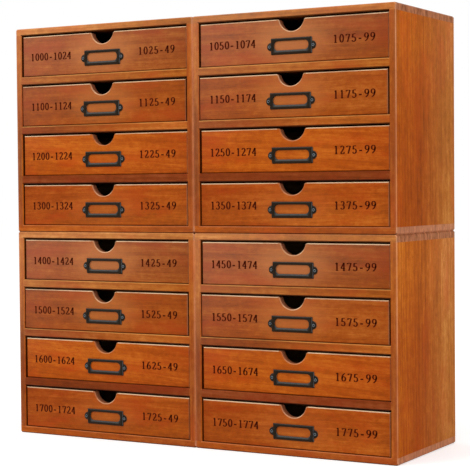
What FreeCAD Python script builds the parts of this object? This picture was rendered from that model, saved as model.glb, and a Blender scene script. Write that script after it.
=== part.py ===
import FreeCAD, Part
import math
import os

# A block of four small drawer cabinets for sewing thread, stacked two by two.
#
# Each cabinet is a plain wooden case with four drawers, one above the other. The top and
# bottom boards lie over the ends of the sides, full-depth dividers stand in stopped housings,
# and a plywood back fits in a rebate. Each drawer front has a round finger notch in its top
# edge and a label holder pressed from sheet, held by two pins.
#
# Units are millimetres. X runs to the right, Y from front to back and Z up. The origin is at
# the middle of the overall footprint, on the surface that the block stands on.

Vector = FreeCAD.Vector
along_y = Vector(0, 1, 0)

# The block: identical cabinets, standing dry on and beside one another
rows = ("lower", "upper")
columns = ("left", "right")
drawers_in_cabinet = 4

# Case
case_width = 250.0
case_height = 245.0
case_depth = 165.0
side_thickness = 8.0
top_thickness = 8.0
bottom_thickness = 8.0
divider_thickness = 9.5
housing_depth = 2.5             # how far a divider enters each side
housing_stop = 12.0             # from the front edge back to where the housing begins
corner_bevel = 1.6              # of the four long edges that run from front to back
eased_width = 1.0               # of the bevel on every edge at the front of the case

# Back panel
back_thickness = 3.0
rebate_width = 4.0              # overlap of the back panel on the boards round it
panel_play = 0.2                # play of a panel in its rebate or groove

# Drawer front
gap_beside_front = 1.2
gap_above_front = 2.0
gap_below_front = 0.3
front_recess = 1.2              # behind the front edges of the case
front_thickness = 8.0
front_eased_width = 1.0         # of the bevel round the face and the notch
lap_thickness = 4.0             # of the front, left standing before the ends of the sides
notch_radius = 15.4
notch_centre_height = 2.0       # above the top edge of the front
notch_mouth_bevel = 1.3
sideways_rest = (0.9, -0.9, 0.9, 0.0)   # of the drawers, from the top one down

# Drawer tray
tray_side_thickness = 6.0
tray_side_inset = 0.4           # behind the ends of the front
tray_side_drop = 3.0            # from the top of the front to the top of the sides
tray_back_thickness = 6.0
tray_back_housing = 2.0         # how far the back enters each side
tray_tail = 6.0                 # of each side, behind the back
tray_bottom_thickness = 3.0
tray_groove_depth = 3.0
tray_groove_height = 4.0        # above the lower edges of the sides

# Label holder
holder_width = 50.4             # of the frame, without its ears
holder_height = 18.0
holder_rise = 2.2               # from the wood to the face of the frame
holder_bevel = 1.3              # of the sides and the bottom, seen from the front
holder_below_front_top = 29.7   # from the top of the drawer front to the holder's middle
sheet_thickness = 0.7
ear_reach = 4.8                 # of each ear past the frame
ear_radius = 4.7
ear_facets = 10                 # small flats that stand for the round
window_width = 41.6
window_height = 10.2
window_above_bottom = 4.6
window_corner_radius = 2.8
window_corner_facets = 3

# Pins of the label holder
pin_side = 1.1                  # square shank
pin_play = 0.05                 # round the shank
pin_length = 5.5
pin_head_radius = 1.6
pin_head_height = 1.0
pin_head_bevel = 0.7
pin_head_facets = 10
pin_beside_frame = 1.9          # from the frame to the pin's middle

# Worked out from the sizes above
reach = 1.0                     # how far a cutting solid runs past what it cuts
quarter_turn = math.pi / 2
inner_left = side_thickness
inner_right = case_width - side_thickness
inner_low = bottom_thickness
inner_high = case_height - top_thickness
opening_width = inner_right - inner_left
opening_pitch = (inner_high - inner_low + divider_thickness) / drawers_in_cabinet
opening_height = opening_pitch - divider_thickness
panel_front = case_depth - back_thickness

front_width = opening_width - 2 * gap_beside_front
front_low = gap_below_front
front_high = opening_height - gap_above_front
front_face = front_recess
front_back = front_face + front_thickness
lap_back = front_face + lap_thickness

tray_outer = front_width / 2 - tray_side_inset
tray_inner = tray_outer - tray_side_thickness
tray_high = front_high - tray_side_drop
tray_end = panel_front          # the closed drawer stops against the back panel
tray_back_end = tray_end - tray_tail
tray_back_front = tray_back_end - tray_back_thickness
tray_floor = tray_groove_height + tray_bottom_thickness

holder_middle = front_high - holder_below_front_top
holder_low = holder_middle - holder_height / 2
holder_high = holder_middle + holder_height / 2
pin_x = holder_width / 2 + pin_beside_frame
proud = max(0.0, holder_rise - front_recess)


def board(x_low, x_high, y_low, y_high, z_low, z_high):
    """A square-edged board between two opposite corners."""
    return Part.makeBox(x_high - x_low, y_high - y_low, z_high - z_low, Vector(x_low, y_low, z_low))


def round_stretch(x, z, radius, start, turn, facets):
    """Points of a round stretch of an outline about (x, z), as the ends of equal flat facets."""
    turns = [start + turn * step / facets for step in range(facets + 1)]
    return [Vector(x + radius * math.cos(at), 0, z + radius * math.sin(at)) for at in turns]


def plate(points, y_low, y_high):
    """A flat solid between two depths, with a closed outline through the points."""
    face = Part.Face(Part.makePolygon(points + points[:1]))
    face.translate(Vector(0, y_low, 0))
    return face.extrude(Vector(0, y_high - y_low, 0))


def cut_all(shape, cutters):
    for cutter in cutters:
        shape = shape.cut(cutter)
    return shape


def opening_low(number):
    """Height of the floor of a drawer's opening; drawer 1 is at the top."""
    return inner_high - opening_height - (number - 1) * opening_pitch


def drawer_numbers():
    return range(1, drawers_in_cabinet + 1)


# ---------------------------------------------------------------- pins
# Pins, label holder and drawer are made about the middle of the drawer's opening: x from the
# middle, y from the front of the case and z from the opening's floor.

def shank(x, play):
    """A label pin's square shank, from under its head into the drawer front."""
    half = pin_side / 2 + play
    start = front_face - sheet_thickness
    return board(x - half, x + half, start, start + pin_length + play,
                 holder_middle - half, holder_middle + half)


def pin(x):
    """An escutcheon pin: a faceted head that sits on the holder's ear, and its shank."""
    seat = front_face - sheet_thickness
    circle = round_stretch(x, holder_middle, pin_head_radius, 0, 4 * quarter_turn, pin_head_facets)
    head = plate(circle[:-1], seat - pin_head_height, seat)
    head = head.makeChamfer(pin_head_bevel, [edge for edge in head.Edges
                                             if edge.BoundBox.YMax < seat - pin_head_height / 2])
    return head.fuse(shank(x, 0)).removeSplitter()


# ---------------------------------------------------------------- case

def case_form():
    """The whole case with its openings as one block, eased along every edge at the front."""
    form = Part.makeBox(case_width, case_depth, case_height)
    form = form.makeChamfer(corner_bevel, [edge for edge in form.Edges
                                           if edge.BoundBox.YLength > case_depth / 2])
    openings = [board(inner_left, inner_right, -reach, panel_front,
                      opening_low(number), opening_low(number) + opening_height)
                for number in drawer_numbers()]
    form = cut_all(form, openings)
    return form.makeChamfer(eased_width, [edge for edge in form.Edges
                                          if edge.BoundBox.YMax < eased_width / 2])


def back_rebate():
    return board(inner_left - rebate_width, inner_right + rebate_width,
                 panel_front, case_depth + reach,
                 inner_low - rebate_width, inner_high + rebate_width)


def divider_blank(number):
    """The board under drawer `number`, wider behind the stop so that it enters the sides."""
    high = opening_low(number)
    low = high - divider_thickness
    shelf = board(inner_left, inner_right, 0, panel_front, low, high)
    tongue = board(inner_left - housing_depth, inner_right + housing_depth,
                   housing_stop, panel_front, low, high)
    return shelf.fuse(tongue).removeSplitter()


def divider_blanks():
    return [divider_blank(number) for number in drawer_numbers()[:-1]]


def dividers(form):
    return [blank.common(form) for blank in divider_blanks()]


def case_boards(form):
    """Top, bottom, left side and right side."""
    blanks = [board(0, case_width, 0, case_depth, inner_high, case_height),
              board(0, case_width, 0, case_depth, 0, inner_low),
              board(0, inner_left, 0, case_depth, inner_low, inner_high),
              board(inner_right, case_width, 0, case_depth, inner_low, inner_high)]
    cutters = divider_blanks() + [back_rebate()]
    return [cut_all(blank.common(form), cutters) for blank in blanks]


def back_panel():
    overlap = rebate_width - panel_play
    return [board(inner_left - overlap, inner_right + overlap, panel_front, case_depth,
                  inner_low - overlap, inner_high + overlap)]


# ---------------------------------------------------------------- drawer

def notched_front():
    """The front with its finger notch, eased all round its face."""
    half = front_width / 2
    front = board(-half, half, front_face, front_back, front_low, front_high)
    notch = Part.makeCylinder(notch_radius, front_thickness + 2 * reach,
                              Vector(0, front_face - reach, front_high + notch_centre_height),
                              along_y)
    front = front.cut(notch)
    mouth = [edge for edge in front.Edges
             if edge.BoundBox.YLength > front_thickness / 2
             and edge.BoundBox.XMin > -notch_radius and edge.BoundBox.XMax < notch_radius]
    front = front.makeChamfer(notch_mouth_bevel, mouth)
    return front.makeChamfer(front_eased_width,
                             [edge for edge in front.Edges
                              if edge.BoundBox.YMax < front_face + front_eased_width / 2])


def shank_holes():
    """Holes that the two shanks leave in the ears and in the drawer front."""
    return [shank(x, pin_play) for x in (-pin_x, pin_x)]


def bottom_groove():
    """The groove that holds the drawer's bottom, as one flat solid round the tray."""
    return board(-tray_inner - tray_groove_depth, tray_inner + tray_groove_depth,
                 front_back - tray_groove_depth, tray_end + reach,
                 tray_groove_height, tray_floor + panel_play)


def drawer_front():
    half = front_width / 2
    laps = [board(-half - reach, -tray_inner, lap_back, front_back + reach, 0, opening_height),
            board(tray_inner, half + reach, lap_back, front_back + reach, 0, opening_height)]
    return [cut_all(notched_front(), laps + [bottom_groove()] + shank_holes())]


def drawer_tray():
    """Left side, right side, back and bottom."""
    groove = bottom_groove()
    back = board(-tray_inner - tray_back_housing, tray_inner + tray_back_housing,
                 tray_back_front, tray_back_end, tray_floor, tray_high)
    left = board(-tray_outer, -tray_inner, lap_back, tray_end, 0, tray_high)
    right = board(tray_inner, tray_outer, lap_back, tray_end, 0, tray_high)
    bottom = board(-tray_inner - tray_groove_depth + panel_play,
                   tray_inner + tray_groove_depth - panel_play,
                   front_back - tray_groove_depth + panel_play, tray_back_end,
                   tray_groove_height, tray_floor)
    return [cut_all(left, [groove, back]), cut_all(right, [groove, back]), back, bottom]


def holder_form(inset, rise, above):
    """The frame's bevelled block, drawn in by inset and carried on above its top edge."""
    bevel = holder_bevel * rise / holder_rise
    half = holder_width / 2 - inset
    low = holder_low + inset
    high = holder_high + above
    return Part.makeWedge(bevel - half, front_face - rise, low + bevel, low, -half,
                          half - bevel, front_face, high, high, half)


def ear(side):
    """A round ear flat on the wood, carried on into the frame's side wall."""
    centre = holder_width / 2 + ear_reach - ear_radius
    root = holder_width / 2 - sheet_thickness
    turn = math.acos((root - centre) / ear_radius)
    outline = round_stretch(side * centre, holder_middle, side * ear_radius,
                            -turn, 2 * turn, ear_facets)
    return plate(outline, front_face - sheet_thickness, front_face)


def window():
    """The frame's opening over the card, with round corners."""
    right = window_width / 2 - window_corner_radius
    low = holder_low + window_above_bottom + window_corner_radius
    high = low + window_height - 2 * window_corner_radius
    outline = []
    for quarter, (x, z) in enumerate(((right, high), (-right, high), (-right, low), (right, low))):
        outline += round_stretch(x, z, window_corner_radius, quarter * quarter_turn,
                                 quarter_turn, window_corner_facets)
    return plate(outline, front_face - holder_rise - reach, front_face)


def label_holder():
    """A frame pressed from sheet, open behind and above for the card, with two ears."""
    frame = holder_form(0, holder_rise, 0)
    frame = frame.cut(holder_form(sheet_thickness, holder_rise - sheet_thickness, reach))
    frame = frame.fuse([ear(-1), ear(1)]).removeSplitter()
    return [cut_all(frame, [window()] + shank_holes())] + [pin(x) for x in (-pin_x, pin_x)]


# ---------------------------------------------------------------- assembly

def write_node(name, solids, place):
    shape = Part.makeCompound([solid for shape in solids for solid in shape.Solids])
    shape.translate(place)
    shape.exportStep(os.path.join("parts", name + ".step"))


def write_cabinet(name, corner):
    """Write one cabinet whose lower left front corner is at `corner`."""
    form = case_form()
    write_node(name + "_case", case_boards(form), corner)
    write_node(name + "_dividers", dividers(form), corner)
    write_node(name + "_back_panel", back_panel(), corner)
    for number in drawer_numbers():
        aside = sideways_rest[(number - 1) % len(sideways_rest)]
        place = corner + Vector(case_width / 2 + aside, 0, opening_low(number))
        drawer = "%s_drawer_%d" % (name, number)
        write_node(drawer + "_front", drawer_front(), place)
        write_node(drawer + "_tray", drawer_tray(), place)
        write_node(drawer + "_label_holder", label_holder(), place)


def main():
    os.makedirs("parts", exist_ok=True)
    left_edge = -len(columns) * case_width / 2
    front_plane = (proud - case_depth) / 2
    for row, row_name in enumerate(rows):
        for column, column_name in enumerate(columns):
            corner = Vector(left_edge + column * case_width, front_plane, row * case_height)
            write_cabinet("%s_%s" % (row_name, column_name), corner)


main()
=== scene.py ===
import math

import bpy
from mathutils import Matrix, Vector


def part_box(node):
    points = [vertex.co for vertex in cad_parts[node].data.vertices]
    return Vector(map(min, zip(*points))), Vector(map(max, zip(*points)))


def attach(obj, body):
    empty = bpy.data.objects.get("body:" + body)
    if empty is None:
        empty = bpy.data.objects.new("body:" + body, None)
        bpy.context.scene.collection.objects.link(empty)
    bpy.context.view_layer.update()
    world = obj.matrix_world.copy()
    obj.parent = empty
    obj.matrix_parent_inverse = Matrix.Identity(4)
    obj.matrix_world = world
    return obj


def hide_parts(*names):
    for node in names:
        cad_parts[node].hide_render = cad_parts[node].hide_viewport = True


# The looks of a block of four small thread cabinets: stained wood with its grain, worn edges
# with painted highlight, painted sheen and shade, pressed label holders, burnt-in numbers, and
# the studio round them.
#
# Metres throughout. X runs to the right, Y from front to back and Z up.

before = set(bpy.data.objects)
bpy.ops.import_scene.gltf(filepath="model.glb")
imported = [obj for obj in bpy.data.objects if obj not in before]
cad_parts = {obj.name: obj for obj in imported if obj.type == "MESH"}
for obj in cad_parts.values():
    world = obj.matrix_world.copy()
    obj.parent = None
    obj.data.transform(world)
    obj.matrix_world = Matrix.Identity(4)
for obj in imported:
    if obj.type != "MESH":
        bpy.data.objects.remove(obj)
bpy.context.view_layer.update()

MM = 0.001
rows = ("lower", "upper")
columns = ("left", "right")
drawer_numbers = (1, 2, 3, 4)       # from the top of a cabinet down


def named(row, column, part):
    return "%s_%s_%s" % (row, column, part)


# Sizes taken from the frame, and the thickness of the top and the bottom board
case_low, case_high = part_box("lower_left_case")
cabinet_width = case_high.x - case_low.x
cabinet_height = case_high.z - case_low.z
case_back = case_high.y
board_thickness = 8 * MM


# ---------------------------------------------------------------- camera

camera_place = Vector((0.8882, -1.5485, 0.2960))
camera_turn = math.radians(29.644)      # from straight ahead towards the left
camera_tip = math.radians(-1.788)       # below the horizon
camera_roll = math.radians(-0.480)
camera_lens = 115.625                   # in millimetres, as is the sensor's width
camera_sensor = 36
camera_far = 50                         # how far it sees, in metres


def make_camera():
    """The camera, turned, tipped and then rolled about its own axis."""
    level_right = Vector((math.cos(camera_turn), math.sin(camera_turn), 0))
    level_ahead = Vector((-math.sin(camera_turn), math.cos(camera_turn), 0))
    upright = Vector((0, 0, 1))
    ahead = math.cos(camera_tip) * level_ahead + math.sin(camera_tip) * upright
    above = -math.sin(camera_tip) * level_ahead + math.cos(camera_tip) * upright
    right = math.cos(camera_roll) * level_right + math.sin(camera_roll) * above
    top = -math.sin(camera_roll) * level_right + math.cos(camera_roll) * above
    data = bpy.data.cameras.new("camera")
    data.sensor_width = camera_sensor
    data.lens = camera_lens
    data.clip_end = camera_far
    camera = bpy.data.objects.new("camera", data)
    camera.matrix_world = Matrix(((right.x, top.x, -ahead.x, camera_place.x),
                                  (right.y, top.y, -ahead.y, camera_place.y),
                                  (right.z, top.z, -ahead.z, camera_place.z),
                                  (0, 0, 0, 1)))
    bpy.context.scene.collection.objects.link(camera)
    bpy.context.scene.camera = camera


# ---------------------------------------------------------------- node trees

def linear(red, green, blue):
    """A linear colour from its sRGB bytes."""
    def channel(value):
        value /= 255
        return value / 12.92 if value <= 0.04045 else ((value + 0.055) / 1.055) ** 2.4
    return (channel(red), channel(green), channel(blue), 1.0)


class Graph:
    """A material's or a world's nodes, built with calls that take sockets or plain values."""

    def __init__(self, owner):
        owner.use_nodes = True
        self.owner = owner
        self.tree = owner.node_tree
        self.tree.nodes.clear()

    def node(self, kind, **settings):
        made = self.tree.nodes.new("ShaderNode" + kind)
        for key, value in settings.items():
            setattr(made, key, value)
        return made

    def put(self, socket, value):
        """Link a socket, or set it to a plain value."""
        if isinstance(value, bpy.types.NodeSocket):
            self.tree.links.new(value, socket)
        else:
            socket.default_value = value

    def math(self, operation, *values):
        made = self.node("Math", operation=operation)
        for socket, value in zip(made.inputs, values):
            self.put(socket, value)
        return made.outputs[0]

    def between(self, value, low, high, to_low=0.0, to_high=1.0):
        """A smooth step from to_low at low to to_high at high."""
        made = self.node("MapRange", interpolation_type="SMOOTHSTEP")
        for name, given in (("Value", value), ("From Min", low), ("From Max", high),
                            ("To Min", to_low), ("To Max", to_high)):
            self.put(made.inputs[name], given)
        return made.outputs["Result"]

    def point(self, x, y, z):
        made = self.node("CombineXYZ")
        for socket, value in zip(made.inputs, (x, y, z)):
            self.put(socket, value)
        return made.outputs[0]

    def parts(self, vector):
        made = self.node("SeparateXYZ")
        self.put(made.inputs[0], vector)
        return made.outputs

    def length(self, vector):
        made = self.node("VectorMath", operation="LENGTH")
        self.put(made.inputs[0], vector)
        return made.outputs["Value"]

    def position(self):
        """A place on the block at rest, in metres, which moves with its piece."""
        return self.node("TexCoord").outputs["Object"]

    def noise(self, place, scale=1.0, detail=2.0, roughness=0.5):
        made = self.node("TexNoise")
        self.put(made.inputs["Vector"], place)
        self.put(made.inputs["Scale"], scale)
        self.put(made.inputs["Detail"], detail)
        self.put(made.inputs["Roughness"], roughness)
        return made.outputs["Fac"]

    def mottle(self, scale):
        return self.noise(self.position(), scale, detail=3.0, roughness=0.6)

    def mix(self, factor, first, second, blend="MIX"):
        made = self.node("Mix", data_type="RGBA", blend_type=blend)
        self.put(made.inputs["Factor"], factor)
        self.put(made.inputs[6], first)
        self.put(made.inputs[7], second)
        return made.outputs[2]

    def tinted(self, colour, tint):
        return self.mix(1.0, colour, tint, "MULTIPLY")

    def pick(self, factor, first, second):
        """A number between two others, as mix() gives a colour."""
        made = self.node("Mix", data_type="FLOAT")
        self.put(made.inputs[0], factor)
        self.put(made.inputs[2], first)
        self.put(made.inputs[3], second)
        return made.outputs[0]

    def ramp(self, factor, stops):
        """A colour by its place between stops, each a place and a colour."""
        made = self.node("ValToRGB")
        elements = made.color_ramp.elements
        for place, colour in stops[2:]:
            elements.new(place)
        for element, (place, colour) in zip(elements, stops):
            element.position = place
            element.color = colour
        self.put(made.inputs[0], factor)
        return made.outputs[0]

    def bump(self, height, strength, distance):
        made = self.node("Bump")
        self.put(made.inputs["Strength"], strength)
        self.put(made.inputs["Distance"], distance)
        self.put(made.inputs["Height"], height)
        return made.outputs[0]

    def finish(self, colour, roughness, normal=None, **uniform):
        """The finished material; uniform names inputs that are the same all over it."""
        shader = self.node("BsdfPrincipled")
        self.put(shader.inputs["Base Color"], colour)
        self.put(shader.inputs["Roughness"], roughness)
        if normal is not None:
            self.put(shader.inputs["Normal"], normal)
        for name, value in uniform.items():
            shader.inputs[name.replace("_", " ")].default_value = value
        self.put(self.node("OutputMaterial").inputs["Surface"], shader.outputs[0])
        return self.owner

    def seen(self):
        """1 for the rays of the camera, and for those that gloss and glass send out."""
        path = self.node("LightPath")
        return self.math("MAXIMUM", path.outputs["Is Camera Ray"],
                         self.math("MAXIMUM", path.outputs["Is Glossy Ray"],
                                   path.outputs["Is Transmission Ray"]))


def material_graph(name):
    return Graph(bpy.data.materials.new(name))


# ---------------------------------------------------------------- wood

stain_dark = linear(104, 42, 8)
stain_middle = linear(168, 79, 16)
stain_light = linear(214, 124, 44)
stain_red = linear(176, 66, 16)
# Pale colours of worn edges, paler still as painted highlight where the bevels face the light
worn_edge_and_highlight = linear(255, 216, 174)
worn_divider_and_highlight = linear(232, 172, 96)
# Paler round the holder, in part painted light against the holder's shadow
handled_stain = linear(228, 140, 64)
notch_wall_light = linear(172, 108, 76)      # painted light, paler on the walls of the finger notches
# Pale wear and painted highlight along the case's outer corners
worn_corner_and_highlight = linear(236, 168, 124)
# Painted sheen: a milky pale colour over the upper left of each cabinet
painted_sheen_colour = linear(226, 231, 221)
# Painted shade in the gaps and under the bevels that face down, and its share
painted_shade_colour = linear(58, 24, 10)
painted_shade_share = 0.80
lacquer_gloss = linear(255, 205, 165)

# Faces are told apart by how far they turn to the front or the back, from 0 to 1: below the
# first value they are square to it, and above the second they are the front or back itself
square_to_front = 0.3
nearly_front = 0.96
turned_sideways = 0.6           # above it, a face looks to the left or to the right

fibre_bump = 0.20               # strength of the grain's relief
fibre_depth = 0.12 * MM
satin_roughness = 0.46          # of the darkest wood
satin_smoothing = 0.12          # how much smoother the palest is

# Noises that the grain is made of, each with its scale along the trunk and across it, the step
# of its seed, its detail and its roughness
drift_noise = (5.0, 14.0, 0, 1.0, 0.5)
ring_noise = (3.0, 40.0, 3, 2.0, 0.5)
shade_noise = (3.0, 22.0, 5, 2.0, 0.5)
streak_noise = (14.0, 300.0, 7, 3.0, 0.7)
fibre_noise = (45.0, 1300.0, 9, 2.0, 0.6)
fleck_noise = (110.0, 150.0, 11, 4.0, 0.75)
pore_noise = (90.0, 2600.0, 13, 1.0, 0.5)
flush_noise = (13.0, 38.0, 17, 3.0, 0.65)
patch_noise = (34.0, 66.0, 19, 2.0, 0.6)

# How far each of them moves the tone, and how much darker late wood and pores are
tone_layers = ((shade_noise, 0.68), (streak_noise, 0.56), (fibre_noise, 0.32),
               (fleck_noise, 0.62), (patch_noise, 0.26))
late_darkening = 0.09
pore_darkening = 0.16
usual_late = 0.42               # share of late wood that leaves the tone as it is
ring_unevenness = 1.6           # how many rings their number wavers by
late_starts = 0.25              # shares of a year's ring
late_full = 0.85
late_ends = 0.90
late_sunk = 0.4                 # shares of the height of the fibres
pore_sunk = 0.6
pore_starts = 0.60              # levels of the noise
pore_full = 0.72
drift_in_depth = 0.7            # against the drift across the board
seed_step = 1.37                # sets the noises of one board apart from the next one's


class Figure:
    """How a board was cut from the tree.

    The pith lies as far across and deep as is given, the grain runs at a slope, and its
    rings wander by about as many metres as wander says. Each seed has noises of its own.
    """

    def __init__(self, ring_width, pith_across, pith_depth, slope, wander, seed):
        self.ring_width = ring_width
        self.pith_across = pith_across
        self.pith_depth = pith_depth
        self.slope = slope
        self.wander = wander
        self.seed = seed


def stretched_noise(g, place, seed, kind):
    """Noise drawn out along the trunk: place is (along, across, depth) in metres."""
    along, across, depth = place
    along_scale, across_scale, step, detail, roughness = kind
    return g.noise(g.point(g.math("MULTIPLY_ADD", along, along_scale, seed + step),
                           g.math("MULTIPLY", across, across_scale),
                           g.math("MULTIPLY", depth, across_scale)),
                   detail=detail, roughness=roughness)


def ring_number(g, place, figure, seed):
    """How many yearly rings lie between the pith and a place."""
    _, across, depth = place
    from_pith = g.point(g.math("SUBTRACT", across, figure.pith_across),
                        g.math("SUBTRACT", depth, figure.pith_depth), 0.0)
    radius = g.length(from_pith)
    uneven = stretched_noise(g, place, seed, ring_noise)
    return g.math("MULTIPLY_ADD", uneven, ring_unevenness,
                  g.math("DIVIDE", radius, figure.ring_width))


def grain(g, along, across, depth, figure):
    """Tone of the wood, 0.5 on the whole, its red flush, and the height of its fibres.

    Along runs with the trunk; across and depth are the other two ways through the board.
    """
    seed = figure.seed * seed_step
    drift = stretched_noise(g, (along, across, depth), seed, drift_noise)
    drift = g.math("MULTIPLY", g.math("SUBTRACT", drift, 0.5), figure.wander)
    across = g.math("ADD", across, g.math("MULTIPLY_ADD", along, figure.slope, drift))
    depth = g.math("MULTIPLY_ADD", drift, drift_in_depth, depth)
    place = (along, across, depth)
    year = g.math("FRACT", ring_number(g, place, figure, seed))
    late = g.math("MULTIPLY", g.between(year, late_starts, late_full),
                  g.between(year, late_ends, 1.0, 1.0, 0.0))
    tone = g.math("MULTIPLY_ADD", g.math("SUBTRACT", usual_late, late), late_darkening, 0.5)
    for kind, share in tone_layers:
        layer = stretched_noise(g, place, seed, kind)
        tone = g.math("MULTIPLY_ADD", g.math("SUBTRACT", layer, 0.5), share, tone)
    pores = g.between(stretched_noise(g, place, seed, pore_noise), pore_starts, pore_full)
    tone = g.math("MULTIPLY_ADD", pores, -pore_darkening, tone)
    fibres = stretched_noise(g, place, seed, fibre_noise)
    height = g.math("MULTIPLY_ADD", late, -late_sunk,
                    g.math("MULTIPLY_ADD", pores, -pore_sunk, fibres))
    flush = stretched_noise(g, place, seed, flush_noise)
    return tone, flush, height


def stained(g, wood, tint, wear_and_highlight, dark, painted_sheen_share, sheen, over=None, worn_and_highlight_colour=worn_edge_and_highlight, flushed=0.6):
    """Satin stain over the grain.

    Wood is what grain() gives. The tint multiplies the stain, wear_and_highlight is 1 where
    it goes to the pale colour of wear and painted highlight, dark is 1 where painted shade goes,
    painted_sheen_share is a share of painted sheen, sheen is the specular level, over is another
    colour with its share, and flushed is the share of red where the wood is reddest.
    """
    tone, flush, height = wood
    colour = g.ramp(tone, ((0.0, stain_dark), (0.5, stain_middle), (1.0, stain_light)))
    colour = g.mix(g.between(flush, 0.45, 0.72, 0.0, flushed), colour, stain_red)
    colour = g.tinted(colour, tint)
    if over is not None:
        over_colour, over_share = over
        colour = g.mix(over_share, colour, over_colour)
    # Painted sheen, mixed in over the stain
    colour = g.mix(painted_sheen_share, colour, painted_sheen_colour)
    # Wear with painted highlight, broken up by speckles and patches
    speckled = g.noise(g.position(), scale=150.0, detail=3.0, roughness=0.7)
    paled = g.math("MULTIPLY", wear_and_highlight, g.between(speckled, 0.25, 0.60, 0.70, 1.0))
    patchy = g.noise(g.position(), scale=13.0, detail=1.0)
    paled = g.math("MULTIPLY", paled, g.between(patchy, 0.35, 0.60, 0.55, 1.0))
    colour = g.mix(paled, colour, worn_and_highlight_colour)
    # Painted shade in the gaps and under the bevels that face down
    colour = g.mix(g.math("MULTIPLY", dark, painted_shade_share), colour, painted_shade_colour)
    roughness = g.math("MULTIPLY_ADD", tone, -satin_smoothing, satin_roughness)
    normal = g.bump(height, fibre_bump, fibre_depth)
    return g.finish(colour, roughness, normal, Specular_IOR_Level=sheen,
                    Specular_Tint=lacquer_gloss)


def unstained(g, wood, dark, middle, light, roughness):
    """Bare wood in three tones, a little smoother where it is pale."""
    tone, _, height = wood
    colour = g.ramp(tone, ((0.0, dark), (0.5, middle), (1.0, light)))
    normal = g.bump(height, fibre_bump, fibre_depth)
    return g.finish(colour, g.math("MULTIPLY_ADD", tone, -0.1, roughness), normal,
                    Specular_IOR_Level=0.3)


def facing_of(g):
    """The way a face looks, as its three parts, before any bump."""
    return g.parts(g.node("NewGeometry").outputs["True Normal"])


def front_bevels(g, up, left, right):
    """Where the bevels round the front edges are, their wear with painted highlight, and
    painted shade on their undersides.

    Up, left and right give the wear and painted highlight of the bevels that face each way.
    Those that face down get painted shade.
    """
    facing = facing_of(g)
    outwards = g.math("MULTIPLY", facing[1], -1.0)
    bevel = g.math("MULTIPLY", g.math("GREATER_THAN", outwards, square_to_front),
                   g.math("LESS_THAN", outwards, nearly_front))
    # Wear with painted highlight, by the way each bevel faces
    total = 0.0
    for part, sign, share in ((facing[2], 1, up), (facing[0], -1, left), (facing[0], 1, right)):
        turned = g.between(g.math("MULTIPLY", part, sign), 0.2, 0.6)
        total = g.math("MULTIPLY_ADD", turned, share, total)
    # Painted shade on the bevels that face down
    under = g.math("MULTIPLY", bevel, g.between(facing[2], -0.6, -0.2, 1.0, 0.0))
    return bevel, g.math("MULTIPLY", bevel, total), under


def in_cabinet(g, place):
    """Distances from a cabinet's left side and from its base, alike in all four."""
    left_one = g.math("LESS_THAN", place[0], 0.0)
    upper_one = g.math("GREATER_THAN", place[2], cabinet_height)
    x = g.math("MULTIPLY_ADD", left_one, cabinet_width, place[0])
    z = g.math("MULTIPLY_ADD", upper_one, -cabinet_height, place[2])
    return x, z


def from_middle(g, x):
    """Distance to the left or the right of a cabinet's middle."""
    return g.math("ABSOLUTE", g.math("SUBTRACT", x, cabinet_width / 2))


def across_width(g, x, start, end):
    """A smooth step between two shares of a cabinet's width."""
    return g.between(x, start * cabinet_width, end * cabinet_width)


def up_height(g, z, start, end, to_low=0.0, to_high=1.0):
    """A smooth step between two shares of a cabinet's height."""
    return g.between(z, start * cabinet_height, end * cabinet_height, to_low, to_high)


def painted_sheen(g, x, z, least=0.0):
    """Share of painted sheen on front and back: most at the upper left, least lower right."""
    most = 0.06
    spread = g.math("MULTIPLY_ADD", x, 0.5 / cabinet_width,
                    g.math("MULTIPLY_ADD", z, -1 / cabinet_height, 1.0))
    share = g.between(spread, -0.1, 0.85, most, least)
    facing = g.math("ABSOLUTE", facing_of(g)[1])
    return g.math("MULTIPLY", share, g.math("GREATER_THAN", facing, square_to_front))


def in_gap(g):
    """1 on the faces square to the front, which line the gaps and notches; the gaps get painted
    shade there.
    """
    return g.math("LESS_THAN", g.math("ABSOLUTE", facing_of(g)[1]), square_to_front)


def multiplier(red, green, blue):
    """A tint: shares of the stain's own red, green and blue."""
    return (red, green, blue, 1.0)


# For each drawer of a cabinet, from the top: the slope of its grain, the tints of its left and
# its right end, how much paler it is round the holder, in part painted light against the
# holder's shadow, how far the rim of its finger notch is worn and lit with painted highlight,
# and tints of its lower and its upper half where they differ
front_boards = {
    1: dict(slope=0.015, left=multiplier(0.90, 0.92, 1.22), right=multiplier(0.79, 0.84, 1.15),
            handled=0.42, rim=0.40),
    2: dict(slope=-0.01, left=multiplier(0.88, 0.86, 0.93), right=multiplier(0.91, 0.91, 1.12),
            handled=0.34, rim=0.40),
    3: dict(slope=0.05, left=multiplier(1.12, 1.02, 0.61), right=multiplier(1.06, 0.95, 0.78),
            handled=0.08, rim=0.16),
    4: dict(slope=-0.02, left=multiplier(0.94, 0.85, 0.95), right=multiplier(1.05, 1.04, 1.10),
            handled=0.15, rim=0.28,
            halves=(multiplier(1.05, 1.11, 1.2), multiplier(0.95, 0.88, 0.78))),
}
halves_blend = 12 * MM                  # from the middle of a front to the full tint of a half
notch_half_width = 18 * MM              # with the bevel round the finger notch
end_shade_start = 98 * MM               # from the middle of a front to where its ends darken
end_shade_end = 119 * MM
handled_half_width = 52 * MM
handled_half_height = 26 * MM


def front_tint(g, board, x, across, aside):
    """The drawer fronts: from one tint to another, and darker at both ends."""
    tint = g.mix(across_width(g, x, 0.15, 1.0), board["left"], board["right"])
    tint = g.mix(g.between(aside, end_shade_start, end_shade_end), tint,
                 g.tinted(tint, multiplier(0.90, 0.86, 0.88)))
    if "halves" in board:
        lower, upper = board["halves"]
        upwards = g.between(across, -halves_blend, halves_blend)
        tint = g.tinted(tint, g.mix(upwards, lower, upper))
    return tint


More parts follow.
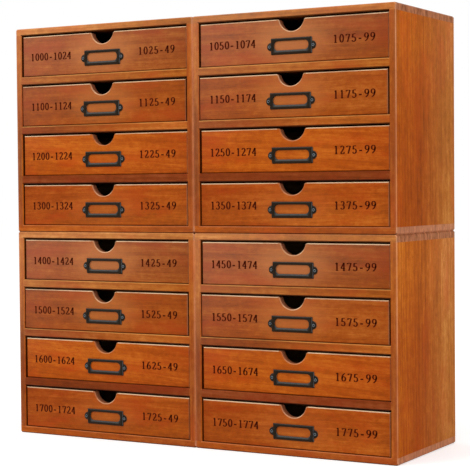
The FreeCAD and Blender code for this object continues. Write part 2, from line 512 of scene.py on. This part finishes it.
def front_wood(number):
    """A drawer front: grain from side to side, its own figure for each place in the case."""
    board = front_boards[number]
    rim = board["rim"]
    low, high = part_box(named("lower", "left", "drawer_%d_front" % number))
    g = material_graph("stained_front_%d" % number)
    place = g.parts(g.position())
    x, z = in_cabinet(g, place)
    across = g.math("SUBTRACT", z, (low.z + high.z) / 2)
    figure = Figure(ring_width=7.5 * MM, pith_across=-90 * MM, pith_depth=120 * MM,
                    slope=board["slope"], wander=6 * MM, seed=number)
    wood = grain(g, place[0], across, place[1], figure)

    # Wear with painted highlight on the top bevels and a little on the right ones; painted shade
    # under the bevels that face down
    bevel, wear_and_highlight, under = front_bevels(g, up=1.25, left=0.0, right=0.14)
    aside = from_middle(g, x)
    at_notch = g.math("MULTIPLY", g.math("LESS_THAN", aside, notch_half_width),
                      g.math("GREATER_THAN", across, 0.0))
    # The right half of the notch looks to the left, towards the key light, and gets twice the
    # wear and painted highlight
    rim_wear_and_highlight = g.between(facing_of(g)[0], -0.4, 0.0, 2 * rim, rim)
    wear_and_highlight = g.math("MULTIPLY", wear_and_highlight, g.pick(at_notch, 1.0, rim_wear_and_highlight))
    wear_and_highlight = g.math("MAXIMUM", wear_and_highlight,
                  g.math("MULTIPLY", bevel, g.math("MULTIPLY", at_notch, 0.7 * rim)))
    # Painted shade on the faces that line the gaps, away from the notch
    gap_shade = g.math("MULTIPLY", in_gap(g), g.math("SUBTRACT", 1.0, at_notch))
    dark = g.math("MAXIMUM", g.math("MULTIPLY", under, 0.3), gap_shade)

    tint = front_tint(g, board, x, across, aside)
    # Paler round the holder, in part painted light against its shadow; the notch walls get
    # painted light
    from_holder = g.length(g.point(g.math("DIVIDE", aside, handled_half_width),
                                   g.math("DIVIDE", across, handled_half_height), 0.0))
    handled = g.between(from_holder, 0.35, 1.25, board["handled"], 0.0)
    notch_wall = g.math("MULTIPLY", at_notch, in_gap(g))
    handled = g.math("MAXIMUM", handled, g.math("MULTIPLY", notch_wall, 0.85))
    handled_colour = g.mix(notch_wall, g.tinted(handled_stain, tint), notch_wall_light)
    return stained(g, wood, tint, wear_and_highlight, dark, painted_sheen(g, x, z), sheen=0.12,
                   over=(handled_colour, handled))


def divider_wood():
    """Dividers: the middle one darkens to the left, and the lowest is darker, without wear or
    painted highlight.
    """
    lowest_ends = 0.3 * cabinet_height
    middle_ends = 0.62 * cabinet_height
    g = material_graph("stained_dividers")
    place = g.parts(g.position())
    x, z = in_cabinet(g, place)
    figure = Figure(ring_width=5 * MM, pith_across=20 * MM, pith_depth=150 * MM,
                    slope=0.01, wander=6 * MM, seed=11)
    wood = grain(g, place[0], place[2], place[1], figure)
    highest_tint = multiplier(0.97, 1.16, 1.5)
    middle_tint = g.mix(across_width(g, x, 0.1, 0.9),
                        multiplier(0.74, 0.75, 1.55), multiplier(1.14, 1.42, 2.5))
    lowest_tint = multiplier(0.59, 0.535, 1.34)
    tint = g.mix(g.math("LESS_THAN", z, middle_ends), highest_tint, middle_tint)
    tint = g.mix(g.math("LESS_THAN", z, lowest_ends), tint, lowest_tint)
    # Wear with painted highlight on the upward bevels, none on the lowest divider; painted shade
    # in the gaps and under the bevels
    _, wear_and_highlight, under = front_bevels(g, up=0.5, left=0.0, right=0.0)
    wear_and_highlight = g.math("MULTIPLY", wear_and_highlight, g.math("GREATER_THAN", z, lowest_ends))
    return stained(g, wood, tint, wear_and_highlight, g.math("MAXIMUM", under, in_gap(g)),
                   painted_sheen(g, x, z), sheen=0.08, worn_and_highlight_colour=worn_divider_and_highlight)


def end_grain_colour(g, place, z):
    """Dashes of end grain on the top and the bottom board, paler on the bottom one."""
    dashes = g.noise(g.point(0.0, g.math("MULTIPLY", place[1], 190.0),
                             g.math("MULTIPLY", place[2], 50.0)), detail=3.0, roughness=0.8)
    colour = g.ramp(dashes, ((0.3, linear(84, 44, 28)), (0.65, linear(196, 128, 90))))
    in_bottom = g.math("LESS_THAN", z, board_thickness)
    return g.mix(g.math("MULTIPLY", in_bottom, 0.3), colour, linear(236, 160, 120))


def side_tint(g, y, z):
    """The outsides of the sides: paler towards the back, and paler towards the top as painted
    light from above.
    """
    towards_back = g.between(y, -40 * MM, case_back)
    low_tint = g.mix(towards_back, multiplier(1.0, 0.91, 0.22), multiplier(1.20, 1.87, 3.7))
    high_tint = g.mix(towards_back, multiplier(1.31, 1.52, 1.24), multiplier(1.32, 2.04, 5.36))
    return g.mix(up_height(g, z, 0.45, 0.95), low_tint, high_tint)


def stile_tint(g, x, z):
    """The front edges of the sides: paler towards the top, most on the left, as painted sheen,
    and a little paler at the very bottom.
    """
    rightwards = across_width(g, x, 0.1, 0.9)
    low_tint = g.mix(rightwards, multiplier(0.66, 0.70, 1.40), multiplier(0.78, 0.74, 0.84))
    high_tint = g.mix(rightwards, multiplier(1.18, 1.48, 1.95), multiplier(1.04, 1.16, 1.07))
    tint = g.mix(up_height(g, z, 0.36, 0.85), low_tint, high_tint)
    return g.mix(up_height(g, z, 0.08, 0.24, 1.0, 0.0), tint,
                 g.tinted(tint, multiplier(1.22, 1.20, 1.20)))


def level_tint(g, x, in_top):
    """The front edges of the top and the bottom board, both darker to the right; painted sheen
    makes the top one much paler, most to the left.
    """
    rightwards = across_width(g, x, 0.1, 0.9)
    top_tint = g.mix(rightwards, multiplier(1.47, 2.27, 4.8), multiplier(1.24, 1.82, 3.4))
    bottom_tint = g.mix(rightwards, multiplier(1.15, 1.16, 1.08), multiplier(0.95, 0.93, 1.08))
    return g.mix(in_top, bottom_tint, top_tint)


case_edge = 4 * MM              # how far in from its outside a case gets pale wear with painted highlight, and no painted shade
case_corner = 2.5 * MM          # how far in the bevels of its outer corners reach


def case_wood():
    """Upright grain on the sides, level grain on the top and the bottom, with end grain."""
    half_width = cabinet_width / 2
    half_height = cabinet_height / 2
    g = material_graph("stained_case")
    place = g.parts(g.position())
    x, z = in_cabinet(g, place)
    in_top = g.math("GREATER_THAN", z, cabinet_height - board_thickness)
    flat = g.math("MAXIMUM", in_top, g.math("LESS_THAN", z, board_thickness))
    along = g.pick(flat, place[2], place[0])
    across = g.pick(flat, place[1], place[2])
    depth = g.pick(flat, place[0], place[1])
    figure = Figure(ring_width=5.5 * MM, pith_across=30 * MM, pith_depth=180 * MM,
                    slope=0.012, wander=6 * MM, seed=23)
    wood = grain(g, along, across, depth, figure)

    facing = facing_of(g)
    sideways = g.math("ABSOLUTE", facing[0])
    end_grain = g.math("MULTIPLY", flat, g.math("GREATER_THAN", sideways, turned_sideways))
    aside = from_middle(g, x)
    bevel, wear_and_highlight, under = front_bevels(g, up=0.2, left=0.0, right=0.0)
    # Painted highlight with wear on the outer corners' bevels, stronger towards the top, fading
    # onto the front near the outer sides
    outer = g.math("GREATER_THAN", aside, half_width - case_corner)
    corner = g.math("MULTIPLY", g.math("MULTIPLY", bevel, outer),
                    up_height(g, z, 0.0, 1.0, 0.35, 0.6))
    outer_edge = g.math("MULTIPLY", g.math("LESS_THAN", facing[1], -square_to_front),
                        g.between(aside, half_width - case_edge, half_width, 0.0, 0.10))
    wear_and_highlight = g.math("MAXIMUM", wear_and_highlight, g.math("MAXIMUM", corner, outer_edge))

    front_tint = g.mix(flat, stile_tint(g, x, z), level_tint(g, x, in_top))
    tint = g.mix(g.math("LESS_THAN", sideways, turned_sideways),
                 side_tint(g, place[1], z), front_tint)

    # Painted shade on the faces that line the openings, and under the bevels that face down
    from_mid_height = g.math("ABSOLUTE", g.math("SUBTRACT", z, half_height))
    inside = g.math("MULTIPLY", g.math("LESS_THAN", aside, half_width - case_edge),
                    g.math("LESS_THAN", from_mid_height, half_height - case_edge))
    dark = g.math("MAXIMUM", under, g.math("MULTIPLY", inside, in_gap(g)))
    return stained(g, wood, tint, wear_and_highlight, dark, painted_sheen(g, x, z, least=0.012), sheen=0.01,
                   over=(end_grain_colour(g, place, z), g.math("MULTIPLY", end_grain, 0.85)),
                   worn_and_highlight_colour=worn_corner_and_highlight, flushed=0.4)


def bare_wood():
    """Unstained softwood of the trays: sides run front to back, the back from side to side."""
    to_tray_side = 109.4 * MM       # from a cabinet's middle to the inside of a tray's side
    g = material_graph("bare_tray_wood")
    place = g.parts(g.position())
    x, _ = in_cabinet(g, place)
    is_side = g.math("GREATER_THAN", from_middle(g, x), to_tray_side)
    along = g.pick(is_side, place[0], place[1])
    depth = g.pick(is_side, place[1], place[0])
    figure = Figure(ring_width=4.5 * MM, pith_across=-50 * MM, pith_depth=120 * MM,
                    slope=0.01, wander=7 * MM, seed=31)
    wood = grain(g, along, place[2], depth, figure)
    return unstained(g, wood, linear(150, 104, 62), linear(196, 152, 102),
                     linear(222, 184, 136), roughness=0.72)


def plywood():
    """Thin plywood with its face grain upright."""
    g = material_graph("plywood_back")
    place = g.parts(g.position())
    figure = Figure(ring_width=9 * MM, pith_across=80 * MM, pith_depth=250 * MM,
                    slope=0.02, wander=22 * MM, seed=41)
    wood = grain(g, place[2], place[0], place[1], figure)
    return unstained(g, wood, linear(128, 80, 44), linear(176, 124, 76),
                     linear(204, 156, 104), roughness=0.75)


# ---------------------------------------------------------------- metal and ink

bronze_dark = linear(12, 8, 5)
bronze_light = linear(32, 23, 15)
# Grey of the painted highlight on the holder's sheet
bronze_highlight = linear(88, 93, 96)
bronze_gloss = linear(255, 232, 200)
# Greys of the painted highlight on the pins' rims
pin_dark = linear(58, 66, 72)
pin_light = linear(122, 132, 138)
ink_dark = linear(58, 14, 3)
ink_light = linear(88, 26, 7)


def dark_metal(name, highlight_above, highlight_right):
    """Bronzed sheet: near black, with grey painted highlight on its upward and rightward slopes.
    """
    g = material_graph(name)
    mottle = g.mottle(900.0)
    colour = g.ramp(mottle, ((0.3, bronze_dark), (0.7, bronze_light)))
    facing = g.parts(g.node("NewGeometry").outputs["Normal"])
    # Painted highlight: grey on the slopes that face up and to the right
    upwards = g.between(facing[2], 0.10, 0.45, 0.0, highlight_above)
    rightwards = g.between(facing[0], 0.60, 0.90, 0.0, highlight_right)
    paled = g.math("MULTIPLY", g.math("MAXIMUM", upwards, rightwards),
                    g.between(mottle, 0.3, 0.65, 0.5, 1.0))
    colour = g.mix(paled, colour, bronze_highlight)
    roughness = g.math("MULTIPLY_ADD", mottle, 0.25, 0.25)
    normal = g.bump(mottle, 0.25, 0.05 * MM)
    return g.finish(colour, roughness, normal, Metallic=0.0, Specular_IOR_Level=0.15,
                    Specular_Tint=bronze_gloss)


def pin_rim_highlight():
    """The rim of a pin head, grey as painted highlight on the bronze."""
    g = material_graph("painted_pin_rim")
    mottle = g.mottle(1500.0)
    colour = g.ramp(mottle, ((0.3, pin_dark), (0.7, pin_light)))
    normal = g.bump(mottle, 0.2, 0.04 * MM)
    return g.finish(colour, g.math("MULTIPLY_ADD", mottle, 0.2, 0.25), normal, Metallic=0.6)


def burnt_ink():
    """Brown of the burnt-in numbers, uneven where the wood took less heat."""
    g = material_graph("burnt_numbers")
    mottle = g.mottle(420.0)
    colour = g.ramp(mottle, ((0.3, ink_dark), (0.7, ink_light)))
    return g.finish(colour, g.math("MULTIPLY_ADD", mottle, 0.2, 0.45),
                    Specular_IOR_Level=0.05, Specular_Tint=lacquer_gloss)


# ---------------------------------------------------------------- pieces

def add_piece(name, points, faces, materials, finishes=None, smooth=False):
    """A mesh object; finishes gives each face's place in the list of materials."""
    mesh = bpy.data.meshes.new(name)
    mesh.from_pydata([tuple(point) for point in points], [], faces)
    for material in materials:
        mesh.materials.append(material)
    if finishes is not None:
        mesh.polygons.foreach_set("material_index", finishes)
    mesh.polygons.foreach_set("use_smooth", [smooth] * len(mesh.polygons))
    mesh.update()
    piece = bpy.data.objects.new(name, mesh)
    bpy.context.scene.collection.objects.link(piece)
    return piece


class Shell:
    """Points and faces of a piece, gathered ring by ring, each face with its finish."""

    def __init__(self):
        self.points = []
        self.faces = []
        self.finishes = []
        self.finish = 0         # of the faces made from here on

    def ring(self, points):
        first = len(self.points)
        self.points += points
        return list(range(first, first + len(points)))

    def loft(self, first, second, closed=True):
        """Faces between two rings of as many points, or two open runs of them."""
        count = len(first)
        for index in range(count if closed else count - 1):
            after = (index + 1) % count
            self.cap((first[index], first[after], second[after], second[index]))

    def cap(self, ring, turned=False):
        self.faces.append(tuple(reversed(ring)) if turned else tuple(ring))
        self.finishes.append(self.finish)


# Label holder, in millimetres about its own middle: x to the right, z up, and rise outwards
# from the wood
holder_width = 50.4
holder_height = 18.0
holder_corner = 0.7
window_width = 42.4
window_height = 10.2
window_above_bottom = 4.6
window_corner = 4.6
sheet_thickness = 0.6
mouth_depth = 0.3               # the outer edge this near the top is the card pocket's mouth
corner_steps = 6
ear_radius = 4.5
ear_reach = 4.8                 # beyond the frame
ear_thickness = 0.7
ear_edge = 0.25                 # height of the eased upper edge
ear_eased = 0.92                # size of the ear's top face against its foot
ear_overlap = 0.5               # how far the ear starts inside the frame's outline
ear_steps = 20
pin_beside_frame = 1.55
pin_steps = 20
bronze_finish = 0               # places in the holder's list of materials
rim_finish = 1
lip_finish = 2


def rounded_loop(half_width, low, high, radius):
    """Points round a rounded rectangle, anticlockwise from its lower right corner."""
    centres = ((half_width - radius, low + radius), (half_width - radius, high - radius),
               (radius - half_width, high - radius), (radius - half_width, low + radius))
    points = []
    for quarter, (x, z) in enumerate(centres):
        for step in range(corner_steps + 1):
            turn = math.pi / 2 * (quarter - 1 + step / corner_steps)
            points.append((x + radius * math.cos(turn), z + radius * math.sin(turn)))
    return points


def holder_frame(shell):
    """The pressed frame: a crowned face between the outer skirt and the window's lip."""
    low = -holder_height / 2
    outer = rounded_loop(holder_width / 2, low, holder_height / 2, holder_corner)
    window_low = low + window_above_bottom
    window = rounded_loop(window_width / 2, window_low, window_low + window_height, window_corner)
    # share of the way from the outer edge to the window, rise at the closed sides, and rise
    # along the open top
    profile = ((0.0, 0.0, 1.35), (0.10, 1.25, 1.75), (0.22, 1.95, 2.1), (0.36, 2.2, 2.2),
               (0.52, 2.16, 2.18), (0.74, 1.86, 1.98), (0.90, 1.5, 1.62), (1.0, 1.25, 1.3))
    crown = 4                           # station where the face starts down to the window
    skirt_foot = (0.07, 0.0, 0.75)      # inner foot of the outer skirt, given in the same way
    open_top = [z > holder_height / 2 - mouth_depth for x, z in outer]

    def ring(share, side_rise, top_rise):
        made = []
        for (x, z), (inner_x, inner_z), opened in zip(outer, window, open_top):
            rise = top_rise if opened else side_rise
            made.append((x + share * (inner_x - x), -rise, z + share * (inner_z - z)))
        return shell.ring(made)

    face = [ring(*station) for station in profile]
    under = [ring(share, max(0.0, rise - sheet_thickness), max(0.0, top - sheet_thickness))
             for share, rise, top in reversed(profile[2:])]
    under.append(ring(*skirt_foot))
    rings = face + under
    for index, (first, second) in enumerate(zip(rings, rings[1:] + rings[:1])):
        on_lip = crown <= index < len(face) - 1
        shell.finish = lip_finish if on_lip else bronze_finish
        shell.loft(first, second)
    shell.finish = bronze_finish


def ear(shell, side):
    """A half-round tab flat on the wood, with a small fillet where it leaves the frame."""
    centre = holder_width / 2 + ear_reach - ear_radius
    start = holder_width / 2 - ear_overlap
    # out from the start, and beyond the radius
    fillet = ((0.0, 1.1), (0.7, 0.5))
    outline = [(start + out, -ear_radius - beyond) for out, beyond in fillet]
    for step in range(ear_steps + 1):
        turn = math.pi * (step / ear_steps - 0.5)
        outline.append((centre + ear_radius * math.cos(turn), ear_radius * math.sin(turn)))
    outline += [(start + out, ear_radius + beyond) for out, beyond in reversed(fillet)]

    def ring(rise, scale):
        made = [(side * (start + (x - start) * scale), -rise, z * scale) for x, z in outline]
        return shell.ring(made if side > 0 else made[::-1])

    rings = [ring(0.0, 1.0), ring(ear_thickness - ear_edge, 1.0), ring(ear_thickness, ear_eased)]
    for first, second in zip(rings, rings[1:]):
        shell.loft(first, second)
    shell.cap(rings[0], turned=True)
    shell.cap(rings[-1])


def pin_head(shell, x):
    """A round pin head with a dimple, seated on the ear."""
    # radius and rise at each station, and the stations that take the pins' painted highlight
    profile = ((1.75, 0.0), (1.75, 0.35), (1.66, 0.66), (1.40, 0.92), (1.12, 0.96),
               (0.92, 0.66), (0.55, 0.36), (0.20, 0.30))
    rim = (2, 3, 4)
    rings = []
    for radius, rise in profile:
        turns = [2 * math.pi * step / pin_steps for step in range(pin_steps)]
        rings.append(shell.ring([(x + radius * math.cos(turn), -ear_thickness - rise,
                                  radius * math.sin(turn)) for turn in turns]))
    for index, (first, second) in enumerate(zip(rings, rings[1:])):
        shell.finish = rim_finish if index in rim else bronze_finish
        shell.loft(first, second)
    shell.finish = bronze_finish
    shell.cap(rings[0], turned=True)
    shell.cap(rings[-1])


def holder_shell():
    """The frame with an ear and a pin at each end."""
    shell = Shell()
    holder_frame(shell)
    for side in (-1, 1):
        ear(shell, side)
        pin_head(shell, side * (holder_width / 2 + pin_beside_frame))
    return shell


def place_holders(materials):
    """Put a label holder where each plain one from the frame is, flat on its front."""
    shell = holder_shell()
    for row in rows:
        for column in columns:
            for number in drawer_numbers:
                drawer = named(row, column, "drawer_%d" % number)
                node = drawer + "_label_holder"
                low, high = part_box(node)
                wood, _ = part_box(drawer + "_front")
                middle = Vector(((low.x + high.x) / 2, wood.y, (low.z + high.z) / 2))
                points = [middle + Vector(point) * MM for point in shell.points]
                piece = add_piece(drawer + "_frame_and_pins", points, shell.faces, materials,
                                  shell.finishes, smooth=True)
                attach(piece, drawer)
                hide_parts(node)


# ---------------------------------------------------------------- numbers

digit_height = 8.8 * MM
drawn_width = 0.56              # of the figures below; this and the next three are shares
digit_width = 0.64              # of their height
thick_stroke = 0.190
thin_stroke = 0.088
stroke_contrast = 1.6           # how soon a stroke thins as it leaves the upright
ink_rise = 0.05 * MM
ink_sunk = 0.10 * MM
numbers_below_top = 24.8 * MM   # from the top of the front to the middle of the digits
left_number_middle = 51.4 * MM  # from the left side of the cabinet
left_number_width = 60.5 * MM
right_number_middle = 201.0 * MM
right_number_width = 51.0 * MM
first_shade = 1000
shades_each = 25                # numbers that each end of a front stands for


def arc(x, z, half_width, half_height, start, end, steps=14):
    """Points on an ellipse from one angle to another, in degrees."""
    turns = [math.radians(start + (end - start) * step / steps) for step in range(steps + 1)]
    return [(x + half_width * math.cos(turn), z + half_height * math.sin(turn)) for turn in turns]


# Pen strokes of each figure, one unit high
figures = {
    "0": [arc(0.28, 0.50, 0.20, 0.47, 90, 450, 24)],
    "1": [[(0.13, 0.84), (0.28, 0.96)], [(0.28, 0.97), (0.28, 0.02)],
          [(0.13, 0.02), (0.43, 0.02)]],
    "2": [arc(0.26, 0.73, 0.18, 0.24, 165, -25) + [(0.08, 0.05)],
          [(0.08, 0.04), (0.47, 0.04)], [(0.47, 0.04), (0.50, 0.20)]],
    "3": [arc(0.25, 0.75, 0.17, 0.22, 155, -90), arc(0.24, 0.27, 0.21, 0.25, 90, -155)],
    "4": [[(0.37, 0.96), (0.04, 0.29)], [(0.04, 0.28), (0.52, 0.28)],
          [(0.38, 0.98), (0.38, 0.02)], [(0.27, 0.02), (0.49, 0.02)]],
    "5": [[(0.14, 0.95), (0.46, 0.95)], [(0.14, 0.95), (0.11, 0.52)],
          arc(0.24, 0.30, 0.21, 0.28, 128, -155)],
    "6": [arc(0.50, 0.30, 0.42, 0.67, 98, 180), arc(0.28, 0.29, 0.20, 0.27, 180, -180, 24)],
    "7": [[(0.08, 0.80), (0.10, 0.95)], [(0.10, 0.94), (0.49, 0.94)],
          [(0.49, 0.95), (0.24, 0.02)]],
    "8": [arc(0.28, 0.75, 0.15, 0.21, 90, 450, 20), arc(0.28, 0.27, 0.20, 0.25, 90, 450, 20)],
    "9": [arc(0.06, 0.70, 0.42, 0.67, -82, 0), arc(0.28, 0.71, 0.20, 0.27, 0, 360, 24)],
    "-": [[(0.08, 0.318), (0.42, 0.318)], [(0.08, 0.402), (0.42, 0.402)]],
}


def stroke_outline(points):
    """Left and right edges of a broad-nib stroke, thick where it runs up and down."""
    left = []
    right = []
    for index, (x, z) in enumerate(points):
        before = points[max(0, index - 1)]
        after = points[min(len(points) - 1, index + 1)]
        run = Vector((after[0] - before[0], after[1] - before[1])).normalized()
        thickening = (thick_stroke - thin_stroke) * abs(run.y) ** stroke_contrast
        half = (thin_stroke + thickening) / 2
        left.append((x - run.y * half, z + run.x * half))
        right.append((x + run.y * half, z - run.x * half))
    return left, right


def write_stroke(shell, points, place):
    """One stroke as a closed strip, from just inside the wood to just above it."""
    left, right = stroke_outline(points)

    def edge(side, y):
        return shell.ring([place(x, y, z) for x, z in side])

    strips = [edge(left, -ink_rise), edge(right, -ink_rise), edge(right, ink_sunk),
              edge(left, ink_sunk)]
    for first, second in zip(strips, strips[1:] + strips[:1]):
        shell.loft(second, first, closed=False)
    shell.cap([strip[0] for strip in strips], turned=True)
    shell.cap([strip[-1] for strip in strips])


def write_number(shell, text, middle, width):
    """Write a run of figures, evenly spread over a width, about its middle."""
    pitch = width / len(text)
    for index, character in enumerate(text):
        left = middle.x - width / 2 + (index + 0.5) * pitch - digit_width / 2 * digit_height

        def place(x, y, z, left=left):
            return (left + x * digit_width / drawn_width * digit_height, middle.y + y,
                    middle.z + (z - 0.5) * digit_height)

        for points in figures[character]:
            write_stroke(shell, points, place)


def place_numbers(material):
    """A run of shade numbers at each end of every drawer front."""
    start = first_shade
    for row in reversed(rows):
        for number in drawer_numbers:
            for column in columns:
                drawer = named(row, column, "drawer_%d" % number)
                low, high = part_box(drawer + "_front")
                corner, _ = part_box(named(row, column, "case"))
                height = high.z - numbers_below_top
                shell = Shell()
                write_number(shell, "%d-%d" % (start, start + shades_each - 1),
                             Vector((corner.x + left_number_middle, low.y, height)),
                             left_number_width)
                start += shades_each
                write_number(shell, "%d-%02d" % (start, (start + shades_each - 1) % 100),
                             Vector((corner.x + right_number_middle, low.y, height)),
                             right_number_width)
                start += shades_each
                piece = add_piece(drawer + "_numbers", shell.points, shell.faces, [material])
                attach(piece, drawer)


# ---------------------------------------------------------------- light and stage

def make_world():
    """Even white light; the background itself is white to the eye and in reflections."""
    light_level = 0.72
    world = bpy.data.worlds.new("studio")
    bpy.context.scene.world = world
    g = Graph(world)
    background = g.node("Background")
    g.put(background.inputs["Color"], (1, 1, 1, 1))
    g.put(background.inputs["Strength"],
          g.math("MULTIPLY_ADD", g.seen(), 1 - light_level, light_level))
    g.put(g.node("OutputWorld").inputs["Surface"], background.outputs[0])


def make_floor():
    """A wide pale floor that goes white in front of the camera but keeps the shadow."""
    half = 6.0
    glow_to_camera = 0.42           # what the lit floor lacks to be white
    below_block = 0.2 * MM
    g = material_graph("pale_floor")
    speckle = g.noise(g.position(), scale=40.0)
    matt = g.node("BsdfDiffuse")
    g.put(matt.inputs["Color"], g.ramp(speckle, ((0.0, (0.80, 0.80, 0.80, 1)),
                                                 (1.0, (0.84, 0.84, 0.84, 1)))))
    glow = g.node("Emission")
    g.put(glow.inputs["Strength"], g.math("MULTIPLY", g.seen(), glow_to_camera))
    both = g.node("AddShader")
    g.put(both.inputs[0], matt.outputs[0])
    g.put(both.inputs[1], glow.outputs[0])
    g.put(g.node("OutputMaterial").inputs["Surface"], both.outputs[0])
    floor = add_piece("floor", [(-half, -half, 0), (half, -half, 0), (half, half, 0),
                                (-half, half, 0)], [(0, 1, 2, 3)], [g.owner])
    floor.location.z = -below_block


# Name, place, size in metres and power in watts
softboxes = (("key_softbox", Vector((-1.3, -2.0, 2.0)), 1.4, 20),
             ("top_softbox", Vector((0.1, -0.5, 2.3)), 1.3, 9),
             ("right_softbox", Vector((2.4, -0.7, 1.1)), 1.4, 9))
softbox_aim = Vector((0, 0, 0.25))


def make_lights():
    """The key from the left, a softer one above and another for the side of the block."""
    for name, place, size, power in softboxes:
        data = bpy.data.lights.new(name, "AREA")
        data.shape = "SQUARE"
        data.size = size
        data.energy = power
        lamp = bpy.data.objects.new(name, data)
        lamp.location = place
        lamp.rotation_euler = (softbox_aim - place).to_track_quat("-Z", "Y").to_euler()
        bpy.context.scene.collection.objects.link(lamp)


# ---------------------------------------------------------------- the block

def finish_nodes():
    """Give every carried-over node its wood."""
    woods = {"case": case_wood(), "dividers": divider_wood(), "tray": bare_wood(),
             "back_panel": plywood()}
    for number in drawer_numbers:
        woods["drawer_%d_front" % number] = front_wood(number)
    for name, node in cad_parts.items():
        for ending, material in woods.items():
            if name.endswith("_" + ending):
                for material_slot in node.material_slots:
                    material_slot.material = material


def main():
    scene = bpy.context.scene
    scene.view_settings.view_transform = "Standard"
    make_camera()
    make_world()
    make_floor()
    make_lights()
    finish_nodes()
    place_holders([dark_metal("bronzed_sheet", highlight_above=0.3, highlight_right=0.9),
                   pin_rim_highlight(),
                   dark_metal("bronzed_lip", highlight_above=0.75, highlight_right=0.0)])
    place_numbers(burnt_ink())


main()
